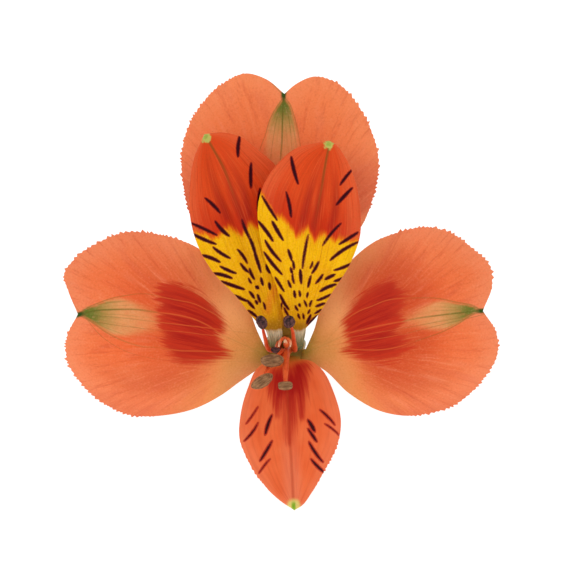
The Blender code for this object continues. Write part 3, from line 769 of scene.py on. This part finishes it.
def outer_material():
    """Salmon blade, tan and green lens, deep red patch and an ochre base."""
    p = Paint("outer_tepal", **PETAL)
    thin = p.noise("flow", (30, 0.0, 1.6), 1.0, 3.0, 0.7)
    wide = p.noise("flow", (9, 0.0, 1.2))
    lines = p.noise("flow", (0.0, 44.0, 0.8), 1.0, 2.0, 0.6)
    whiskers = p.noise("flow", (0.0, 30.0, 0.9), 1.0, 4.0, 0.75)
    broad = p.noise("place", FLAT, 1.6)
    blotch = p.noise("place", FLAT, 7.0, 3.0, 0.6)
    fine = p.noise("place", SOLID, 34.0)
    midrib, vein = p.nearest_vein()
    lens, edge, root, tip, front = (p.value(name) for name in ("lens", "edge", "root", "tip", "front"))
    upper = p.parts("place")[1]
    inner_root = p.add(root, broad, 4.0)
    far = p.between(root, 4.0, 14.0)

    # The blade, paler at the margins and ochre towards the claw, with painted shade on the lower lobes and on
    # the top tepal's lower part, and painted light on the top tepal's upper part and on the base beside the
    # striped tepals
    # The margin colour turns darker on the lower lobes: painted shade
    margin = p.lay((241, 138, 93), ((226, 117, 74), upper, -0.4, -0.9, 1))
    skin = p.lay(
        (240, 123, 72),
        ((235, 102, 49), p.add(lens, broad, 4.0), -9.0, -0.5, 1, p.between(tip, 3.0, 11.0, 0.2, 1.0)),
        # painted shade over the middles of the lower lobes, away from the margins
        ((208, 92, 50), upper, 0.0, -0.7, 0.8, p.between(edge, 1.5, 6.0)),
        (margin, p.add(edge, wide, 3.0), 4.5, 0.0, 0.75, far),
        # painted light over the upper part of the top tepal
        ((252, 144, 84), upper, 2.4, 3.4, 0.4),
        # painted shade over the lower part of the top tepal, beside the striped tepals
        ((210, 98, 62), upper, 2.05, 2.3, 0.65, p.between(upper, 3.5, 2.6)),
        ((232, 150, 82), inner_root, 15.0, 5.0, 0.9),
        ((206, 142, 70), inner_root, 9.0, 1.5, 0.9),
        ((146, 122, 40), inner_root, 3.2, -0.8, 0.9),
        # painted light on the base above the middle line, lifting the shade that the striped tepals cast
        # there
        ((255, 182, 116), inner_root, 18.0, 8.0, 0.85, p.between(upper, 0.1, 0.8), p.between(root, 1.0, 5.0)),
        ((222, 160, 108), root, 9.0, 1.0, 0.7, p.between(upper, 0.0, -0.45)),
    )
    skin = p.lay(
        p.mix(p.value("halo"), skin, (206, 76, 33)),
        ((208, 82, 58), wide, -0.02, -0.25, 0.25, far),
        ((244, 152, 118), wide, 0.05, 0.25, 0.15, far),
        ((196, 66, 36), thin, 0.0, -0.25, 0.4, far),
        ((250, 152, 106), thin, 0.02, 0.25, 0.32, far),
    )

    # The lens, green at the tip, and the green veins
    tan = p.ramp(
        p.math("DIVIDE", tip, 16.0),
        (0.02, (38, 94, 16)), (0.10, (58, 110, 22)), (0.18, (98, 118, 38)), (0.29, (176, 142, 74)),
        (0.44, (222, 152, 92)), (1.0, (230, 124, 70)),
    )
    tan = p.lay(
        tan,
        ((228, 120, 78), blotch, 0.02, 0.25, 0.3),
        ((236, 172, 124), blotch, -0.02, -0.25, 0.3),
        ((96, 108, 30), lines, 0.0, -0.25, 1, p.between(tip, 15.0, 3.0, 0.15, 0.5)),
    )
    inside = p.between(p.add(lens, thin, 0.8), -0.2, p.between(tip, 6.0, 14.0, 0.6, 3.2))
    skin = p.lay(skin, (tan, tip, 22.0, 9.0, 0.92, inside))
    midrib_line = p.between(midrib, 0.22, 0.04, 0.0, 0.9)
    vein_line = p.math("MAXIMUM", p.between(vein, 0.2, 0.03, 0.0, 0.5), midrib_line)
    skin = p.mix(p.times(vein_line, p.between(tip, 18.0, 3.0, 0.12, 0.8)), skin, (98, 100, 28))
    skin = p.lay(skin, ((36, 74, 14), tip, 1.4, 0.4, 1, p.between(midrib, 0.6, 0.2)))

    # The red patch, with ragged ends and paler veins
    depth = p.add(p.value("patch"), p.times(whiskers, p.between(root, 8.0, 14.0, 3.5, 6.5)))
    patch = p.times(p.between(depth, -1.0, 0.6), p.between(front, 0, 1, 0.45, 1.0))
    red = p.lay(
        (168, 24, 10),
        ((196, 48, 20), whiskers, -0.14, 0.14, 1),
        ((204, 62, 26), depth, 2.2, -0.6, 0.5),
    )
    skin = p.lay(skin, ((255, 196, 156), fine, 0.0, 0.3, 0.1))
    skin = p.lay(
        p.mix(patch, skin, red),
        ((216, 96, 44), vein, 0.19, 0.04, 0.62, patch),
        ((150, 50, 24), fine, 0.0, -0.3, 0.16),
        ((238, 160, 120), front, 1, 0, 0.25),
    )
    relief = p.add(p.times(thin, 0.9), p.between(vein, 0.3, 0.0), 0.7)
    return p.finish(skin, relief, 0.45, 0.12)


def striped_material():
    """Red-orange over yellow, with maroon dashes, a green knob at the tip and a grey-green claw."""
    p = Paint("striped_tepal", **{**PETAL, "Roughness": 0.45, "Specular_IOR_Level": 0.06})
    lengthwise = p.noise("flow", (0.0, 9.0, 1.2), 1.0, 4.0, 0.65)
    lines = p.noise("flow", (0.0, 40.0, 1.5))
    claw_lines = p.noise("flow", (0.0, 6.0, 2.0), 1.0, 3.0, 0.7)
    broad = p.noise("place", FLAT, 2.4)
    fine = p.noise("place", SOLID, 36.0)
    midrib, vein = p.nearest_vein()
    rim, tip, root = p.value("rim"), p.value("tip"), p.value("root")
    above = p.add(p.value("patch"), lengthwise, 3.0)

    yellow = p.lay(
        (249, 192, 0),
        ((240, 172, 0), broad, -0.3, 0.3, 1),
        ((222, 162, 14), p.add(root, broad, 3.0), 9.0, 3.0, 0.75),
        ((164, 118, 24), p.add(root, lengthwise, 1.0), 3.6, 0.8, 0.85),
        ((236, 116, 30), p.add(p.value("blush"), lengthwise, 2.0), 1.3, -0.2, 0.6),
    )
    green = p.lay(
        (164, 160, 118),
        ((220, 212, 176), root, -2.6, -0.4, 1),
        ((96, 118, 82), root, -1.4, -4.0, 1),
        ((72, 82, 38), claw_lines, 0.08, -0.1, 1, p.between(root, 0.0, -1.4, 0.25, 0.9)),
    )
    red = p.lay(
        (200, 48, 14),
        ((217, 72, 26), above, 0.5, 8.0, 1),
        ((227, 100, 56), p.add(rim, lengthwise, 0.6), 0.5, 0.0, 0.7),
    )
    near_border = p.times(p.between(above, 0.3, 2.0), p.between(above, 15.0, 4.0))
    skin = p.lay(
        yellow,
        (green, p.add(root, lengthwise, 2.4), 0.45, -0.35, 1),
        ((230, 112, 10), above, -0.7, 0.35, 1),
        (red, above, -0.1, 1.0, 1),
        ((150, 22, 20), vein, 1.0, 0.1, 0.55, near_border),
        ((120, 78, 26), midrib, 0.36, 0.05, 1, p.between(tip, 15.0, 2.0, 0.0, 0.75)),
        ((150, 36, 6), lengthwise, 0.1, -0.3, 0.25),
        ((160, 40, 6), lines, 0.0, -0.3, 0.42),
        ((160, 62, 6), fine, 0.0, -0.3, 0.25),
        ((240, 124, 70), lines, 0.02, 0.3, 0.3, p.between(above, 0.0, 1.0)),
        ((250, 190, 80), fine, 0.0, 0.3, 0.3, p.between(above, 0.5, -0.5)),
    )

    # Dashes, which show weakly on the back, and the knob
    dash = p.add(p.value("dash"), fine, 0.16)
    showing = p.between(p.value("front"), 0, 1, 0.4, 1.0)
    knob = p.add(p.add(p.value("knob"), fine, 0.5), p.noise("place", SOLID, 16.0, 1.0), 0.9)
    skin = p.lay(
        skin,
        ((122, 14, 16), dash, 0.15, 0.0, 0.88, showing),
        ((50, 4, 16), dash, 0.01, -0.11, 1, showing),
        ((186, 182, 92), knob, 0.95, 0.6, 1),
        ((132, 162, 60), knob, 0.5, 0.15, 0.6),
    )
    return p.finish(skin, p.add(p.times(lines, 0.6), fine, 0.35), 0.4, 0.12)


def lower_material():
    """Red-orange with red streaks from the neck, maroon dashes and a green point."""
    p = Paint("lower_tepal", **{**PETAL, "Roughness": 0.48})
    lengthwise = p.noise("flow", (0.0, 14.0, 1.2), 1.0, 4.0, 0.65)
    wide = p.noise("flow", (0.0, 4.0, 1.0))
    broad = p.noise("place", FLAT, 2.4)
    fine = p.noise("place", SOLID, 36.0)
    midrib, vein = p.nearest_vein()
    rim, tip, root = p.value("rim"), p.value("tip"), p.value("root")
    depth = p.add(p.value("patch"), lengthwise, 3.0)
    beyond_neck = p.between(root, 0.4, 2.6)
    dash = p.add(p.value("dash"), fine, 0.14)
    showing = p.between(p.value("front"), 0, 1, 0.4, 1.0)
    skin = p.lay(
        (242, 116, 64),
        ((236, 102, 50), broad, -0.3, 0.3, 1),
        ((243, 128, 84), p.add(rim, broad, 0.3), 0.4, 0.0, 0.7),
        ((238, 134, 98), midrib, 2.2, 0.5, 0.5, p.between(tip, 16, 5)),
        ((204, 108, 32), p.add(root, broad, 3.0), 5.0, 1.0, 0.7),
        ((140, 112, 34), p.add(root, broad, 2.0), 1.8, -0.4, 0.9),
        ((192, 46, 26), depth, -1.0, 0.2, 0.9, beyond_neck),
        ((170, 18, 16), depth, -0.1, 1.2, 0.9, beyond_neck),
        ((176, 54, 22), vein, 0.4, 0.05, 0.5),
        ((206, 70, 34), wide, 0.0, -0.3, 0.35),
        ((176, 44, 20), lengthwise, 0.1, -0.3, 0.25),
        ((170, 26, 22), dash, 0.22, 0.0, 0.85, showing),
        ((58, 4, 12), dash, 0.0, -0.14, 1, showing),
        ((226, 204, 112), tip, 2.0, 1.1, 1, p.between(midrib, 1.4, 0.7)),
        ((134, 176, 40), tip, 1.5, 0.7, 1, p.between(midrib, 0.5, 0.15)),
    )
    return p.finish(skin, p.add(p.times(lengthwise, 0.8), fine, 0.3), 0.4, 0.12)


def plain_material(name, first, second, third, scale, stretch=SOLID, roughness=0.4, depth=0.03):
    """Two mottled colours, and a third that takes over where the shade value runs from 0 to 1."""
    p = Paint(name, **{**PETAL, "Roughness": roughness, "Specular_IOR_Level": 0.3})
    grain = p.noise("grain", stretch, scale, 3.0, 0.6)
    skin = p.lay(first, (second, grain, -0.2, 0.2, 1))
    return p.finish(p.mix(p.value("shade"), skin, third), grain, 0.6, depth)


def rings_round(centres, first, second, reach, sides):
    """Rings of points round the centres, each in the plane of its two directions."""
    turn = np.linspace(0, 2 * math.pi, sides, endpoint=False)
    ring = np.cos(turn)[:, None] * first[:, None] + np.sin(turn)[:, None] * second[:, None]
    return centres[:, None] + ring * reach[..., None]


def tube_grid(points, radii, rings, sides):
    """Rings of points of a round tube along a smooth line."""
    share = np.linspace(0, 1, rings)
    centres = evenly(points, share)
    ahead = unit(np.gradient(centres, axis=0))
    side_on = unit(np.cross(ahead, [0.0, 0.3, 1.0] if abs(ahead[0][2]) < 0.9 else [1.0, 0.2, 0.0]))
    thick = np.interp(share, np.linspace(0, 1, len(radii)), radii)
    return rings_round(centres, side_on, np.cross(ahead, side_on), thick[:, None], sides)


class Solids:
    """Closed bodies gathered into one mesh, each with a material number, and shade and grain values."""

    def __init__(self):
        self.vertices, self.faces, self.numbers, self.shades, self.grains = [], [], [], [], []
        self.count = 0

    def add_rings(self, rings, number=0, shade=0.0, grain=None):
        """A body lofted through rings of points, each end closed by faces that meet at its middle."""
        rows, sides = rings.shape[:2]
        vertices = np.vstack([rings.reshape(-1, 3), rings[0].mean(0), rings[-1].mean(0)])
        if grain is None:
            self.grains.append(vertices * 0.1)
        else:
            self.grains.append(np.vstack([grain.reshape(-1, 3), grain[0, :1], grain[-1, :1]]))
        here = np.arange(rows * sides).reshape(rows, sides) + self.count
        following = np.roll(here, -1, axis=1)
        faces = np.dstack([here[:-1], following[:-1], following[1:], here[1:]]).reshape(-1, 4).tolist()
        first = self.count + rows * sides
        faces += [[first, j, i] for i, j in zip(here[0].tolist(), following[0].tolist())]
        faces += [[first + 1, i, j] for i, j in zip(here[-1].tolist(), following[-1].tolist())]
        self.faces += faces
        self.numbers += [number] * len(faces)
        self.vertices.append(vertices)
        shades = np.broadcast_to(np.asarray(shade, float), (rows,))
        self.shades.append(np.concatenate([np.repeat(shades, sides), [shades[0], shades[-1]]]))
        self.count += len(vertices)

    def mesh(self, name, to_world=in_world):
        mesh = bpy.data.meshes.new(name)
        mesh.from_pydata(to_world(np.vstack(self.vertices)).tolist(), [], self.faces)
        mesh.polygons.foreach_set("material_index", self.numbers)
        add_values(mesh, "grain", np.vstack(self.grains))
        add_values(mesh, "shade", np.concatenate(self.shades))
        mesh.update()
        return mesh


RING_PLACE = (0.0, 1.15)
RING_RADIUS = 1.0
RING_RIM = 0.34
FILAMENT_RADII = (0.44, 0.40, 0.36, 0.28, 0.16)
FILAMENT_RINGS = 90
DARK, BROWN = 1, 2


@dataclass
class Stamen:
    """One stamen, in face-frame millimetres."""

    foot: float  # where it stands on the ring, in degrees
    bends: list
    anther: tuple  # the anther's middle
    axis: tuple
    length: float
    width: float
    roundness: float  # low for blocky ends, high for pointed ones
    kind: int  # which material its anther takes
    stoutness: float = 1.0  # its filament's thickness, as a share of the usual


STAMENS = [
    Stamen(200, [(-1.3, 0.4, 4), (-2.6, 0.4, 7), (-3.2, 2.2, 10.5)], (-3.8, 4.8, 14.6), (-0.4, 0.8, 0.3),
           2.3, 1.8, 0.8, DARK),
    Stamen(345, [(1.55, 0.3, 4.5), (1.4, 2.0, 9.5), (1.1, 3.8, 13.4)], (0.6, 4.9, 15.4), (-0.1, 0.8, 0.6),
           2.1, 2.0, 0.8, DARK),
    Stamen(165, [(-1.2, 0.9, 4.5)], (-1.4, 0.3, 8.4), (0.9, -0.2, 0.42), 1.9, 1.1, 0.8, DARK, 1.2),
    Stamen(235, [(-0.4, 0.2, 5.0), (-0.5, 0.1, 10.0)], (-2.05, -1.25, 15.4), (0.98, 0.05, 0.2),
           3.8, 2.25, 0.95, BROWN),
    Stamen(265, [(-0.1, -0.2, 5.0), (-1.4, -0.9, 11.0), (-3.0, -2.9, 15.5)], (-3.7, -4.6, 18.8),
           (0.84, 0.50, 0.25), 4.1, 2.1, 1.15, BROWN),
    Stamen(305, [(0.3, 0.1, 5.0), (0.15, -0.9, 12.0)], (0.05, -5.3, 20.4), (0.97, 0.03, 0.25), 2.3, 1.5, 0.4,
           BROWN, 1.7),
]
STYLE_PATH = [(0.0, 1.15, 0.3), (0.1, 1.2, 4.0), (0.2, 1.2, 8.0), (0.25, 1.1, 11.0)]
STYLE_RADII = (0.4, 0.36, 0.42)
STIGMA_BRANCHES = [
    [(0.2, 1.3, 12.2), (-0.15, 2.3, 13.2), (-0.65, 1.9, 13.0), (-1.0, 0.9, 12.0)],
    [(0.35, 1.4, 12.2), (0.5, 2.1, 13.2), (0.8, 1.7, 13.1), (0.85, 0.95, 12.4)],
    [(0.25, 1.2, 12.6), (0.2, 1.6, 13.6), (0.0, 1.9, 13.9), (-0.1, 1.6, 13.5)],
]
BRANCH_RADII = (0.36, 0.36, 0.32, 0.24, 0.14)


def anther_rings(stamen, seed):
    """A slightly wrinkled anther with a furrow along one side, and its own frame for colouring."""
    rng = np.random.default_rng(seed)
    axis = unit(np.array(stamen.axis))
    face = unit(np.array([0.0, 0.0, 1.0]) - axis[2] * axis)
    polar = np.linspace(0.03, math.pi - 0.03, 44)
    turn = np.linspace(0, 2 * math.pi, 48, endpoint=False)
    fullness = np.sin(polar) ** stamen.roundness
    furrow = 1 - 0.26 * np.exp(-0.5 * ((np.cos(turn) + 1) / 0.06) ** 2)
    ridges = 1 + 0.025 * np.cos(turn * 11)
    wrinkle = 1 + 0.03 * rng.standard_normal((len(polar), len(turn)))
    reach = fullness[:, None] * (furrow * ridges)[None] * wrinkle
    x = reach * np.cos(turn) * stamen.width / 2
    y = reach * np.sin(turn) * stamen.width * 0.42
    along = -np.cos(polar)[:, None] * stamen.length / 2 + 0 * x
    across = np.cross(axis, face)
    rings = np.array(stamen.anther) + along[..., None] * axis + x[..., None] * across + y[..., None] * face
    return rings, np.dstack([along * 0.02, x * 0.1, y * 0.1])


def add_stamens():
    """Six filaments and their anthers, on the low ring that they grow from."""
    solids = Solids()
    middle = np.array([*RING_PLACE, SEAT_GAP + RING_RIM])
    turn = np.linspace(0, 2 * math.pi, 49)
    for arc in (turn[:25], turn[24:]):
        out = np.column_stack([np.cos(arc), np.sin(arc), 0 * arc])
        up = np.array([[0, 0, 1.0]])
        solids.add_rings(rings_round(middle + out * RING_RADIUS, out, up, np.array([[RING_RIM]]), 16), 0, 0.6)
    for number, stamen in enumerate(STAMENS, 1):
        around = math.radians(stamen.foot)
        foot = middle + RING_RADIUS * np.array([math.cos(around), math.sin(around), 0])
        path = [foot, foot + [0, 0, 1.5], *stamen.bends, stamen.anther]
        rings = tube_grid(path, np.array(FILAMENT_RADII) * stamen.stoutness, FILAMENT_RINGS, 16)
        solids.add_rings(rings, 0, np.linspace(0.7, 0.0, FILAMENT_RINGS) ** 2)
        rings, grain = anther_rings(stamen, number)
        solids.add_rings(rings, stamen.kind, 0.0, grain)
    filament = plain_material("filament", (228, 96, 48), (204, 66, 28), (176, 116, 44), 14, (1, 1, 0.3))
    dark = plain_material("dark_anther", (10, 2, 14), (112, 70, 66), (0, 0, 0), 24, (3, 1, 1), 0.85, 0.25)
    brown = plain_material("brown_anther", (98, 62, 32), (166, 120, 80), (0, 0, 0), 30, SOLID, 0.8, 0.14)
    mesh = solids.mesh("stamens_and_anthers")
    add_piece("stamens_and_anthers", mesh, "stamens", "stamens", filament, dark, brown)


def add_style():
    """The style and its three branches, whose tips curl over and are paler."""
    solids = Solids()
    solids.add_rings(tube_grid(STYLE_PATH, STYLE_RADII, 60, 18))
    start = np.array(STYLE_PATH[-1]) - [0, 0, 0.6]
    paling = np.clip(np.linspace(-2.4, 1.0, 60), 0, 1)
    for bends in STIGMA_BRANCHES:
        solids.add_rings(tube_grid([start, *bends], BRANCH_RADII, 60, 14), 0, paling)
    style = plain_material("style", (230, 108, 44), (208, 80, 30), (250, 220, 176), 14, (1, 1, 0.3))
    add_piece("style_and_stigma", solids.mesh("style_and_stigma"), "style", "style", style)


STALK_PATH = [
    (0.0, 0.0, BASE_HEIGHT), (0.0, 1.1, BASE_HEIGHT - 1.1), (0.0, 4.6, 4.3), (0.1, 10.0, 2.55),
    (0.5, 20.0, 2.2), (1.4, 34.0, 1.9), (3.4, 51.0, 1.46),
]
STALK_RADII = [(0, 3.1), (0.8, 3.3), (3.5, 3.4), (6.0, 2.95), (8.5, 1.9), (11, 1.4), (30, 1.25), (56, 1.5)]
STALK_RINGS, STALK_SIDES = 220, 96
OVARY_RIBS = 6
RIB_DEPTH = 0.10
RIBBED_LENGTH = 9.5


def on_ground(points):
    """World places, in metres, of points sideways, back and up from under the ovary's top."""
    return (np.asarray(points, float) + [*BASE_PLACE, 0]) * MM


def add_stalk():
    """The ribbed ovary and the stalk below it, with fine ridges along it and a flat cut end."""
    centres = evenly(STALK_PATH, np.linspace(0, 1, STALK_RINGS) ** 1.3)
    length = length_along(centres)
    distance, radii = zip(*STALK_RADII)
    radius = smooth(distance, radii, np.clip(length, 0, distance[-1]))
    ribbed = np.clip(1 - length / RIBBED_LENGTH, 0, 1)[:, None] ** 0.5
    turn = np.linspace(0, 2 * math.pi, STALK_SIDES, endpoint=False)
    groove = np.exp(-((np.sin(OVARY_RIBS * turn / 2)) ** 2) * 60)
    fine = 0.012 * np.cos(24 * turn) * np.clip(length / 12, 0, 1)[:, None]
    reach = radius * (1 + ribbed * (RIB_DEPTH * np.cos(OVARY_RIBS * turn) - 0.045 * groove) + fine)
    ahead = unit(np.gradient(centres, axis=0))
    up = unit(np.cross(ahead, [1.0, 0, 0]))
    rings = rings_round(centres, up, np.cross(up, ahead), reach, STALK_SIDES)
    solids = Solids()
    solids.add_rings(rings, 0, np.clip(1.6 - length, 0, 1))
    greens = (112, 128, 58), (92, 110, 44), (142, 124, 40)
    green = plain_material("green_stalk", *greens, 26, (1, 0.15, 1), 0.45, 0.06)
    add_piece("ovary_and_stalk", solids.mesh("ovary_and_stalk", on_ground), "stalk", "green_stalk", green)


FLOOR_HEIGHT = -0.45  # just under the lowest teeth
CAMERA_LENS = 1000
SENSOR_WIDTH = 36
FRAMED_DEPTH = 8  # how far forward the blades lie that have the photograph's scale
LIGHT_PLACE, LIGHT_AIM = Vector((-0.3, -0.55, 1.05)), Vector((0, 0, 0.02))


def add_floor():
    """A wide pale floor, bright enough to read as a white studio ground."""
    bpy.ops.mesh.primitive_plane_add(size=8, location=(0, 0, FLOOR_HEIGHT * MM))
    floor = bpy.context.object
    floor.name = "floor"
    glow = {"Emission_Strength": 0.9, "Emission_Color": (1, 1, 1, 1)}
    p = Paint("pale_floor", Roughness=0.9, Specular_IOR_Level=0.1, **glow)
    floor.data.materials.append(p.finish((0.32, 0.32, 0.32, 1)))


def add_camera():
    """The photograph's view, straight into the bloom's face from far away."""
    data = bpy.data.cameras.new("camera")
    data.lens = CAMERA_LENS
    data.sensor_width = SENSOR_WIDTH
    data.clip_start, data.clip_end = 0.1, 20
    away = PHOTO_WIDTH * PIXEL * CAMERA_LENS / SENSOR_WIDTH
    camera = bpy.data.objects.new("camera", data)
    camera.location = in_world([(*from_photo(PHOTO_MIDDLE)[0], FRAMED_DEPTH + away)])[0]
    camera.rotation_euler = (math.radians(90 - FACE_TILT), 0, 0)
    bpy.context.scene.collection.objects.link(camera)
    bpy.context.scene.camera = camera


def light_scene():
    """Even white light from all round, and a large soft light above the front."""
    world = bpy.data.worlds.new("studio")
    world.use_nodes = True
    background = world.node_tree.nodes["Background"]
    background.inputs["Color"].default_value = (1, 1, 1, 1)
    background.inputs["Strength"].default_value = 0.82
    bpy.context.scene.world = world
    bpy.context.scene.view_settings.view_transform = "Standard"
    data = bpy.data.lights.new("key", "AREA")
    data.size = 0.8
    data.energy = 2.5
    light = bpy.data.objects.new("key", data)
    light.location = LIGHT_PLACE
    light.rotation_euler = (LIGHT_AIM - LIGHT_PLACE).to_track_quat("-Z", "Y").to_euler()
    bpy.context.scene.collection.objects.link(light)


add_camera()
light_scene()
add_floor()
OUTER, STRIPED = outer_material(), striped_material()
for side, tepal, seed in (("top", OUTER_TOP, 11), ("left", OUTER_LEFT, 21), ("right", OUTER_RIGHT, 31)):
    node = f"outer_tepal_{side}"
    add_tepal(f"{node}_petal", tepal, node, "outer_tepals", OUTER, seed)
for side, tepal, seed, dashes in (
    ("left", INNER_LEFT, 41, DASHES_LEFT), ("right", INNER_RIGHT, 51, DASHES_RIGHT)
):
    node = f"inner_tepal_upper_{side}"
    add_tepal(f"inner_{side}_petal", tepal, node, "striped_tepals", STRIPED, seed, dashes)
add_tepal(
    "inner_lower_petal", INNER_LOWER, "inner_tepal_lower", "lower_tepal", lower_material(), 61, DASHES_LOWER
)
add_stamens()
add_style()
add_stalk()
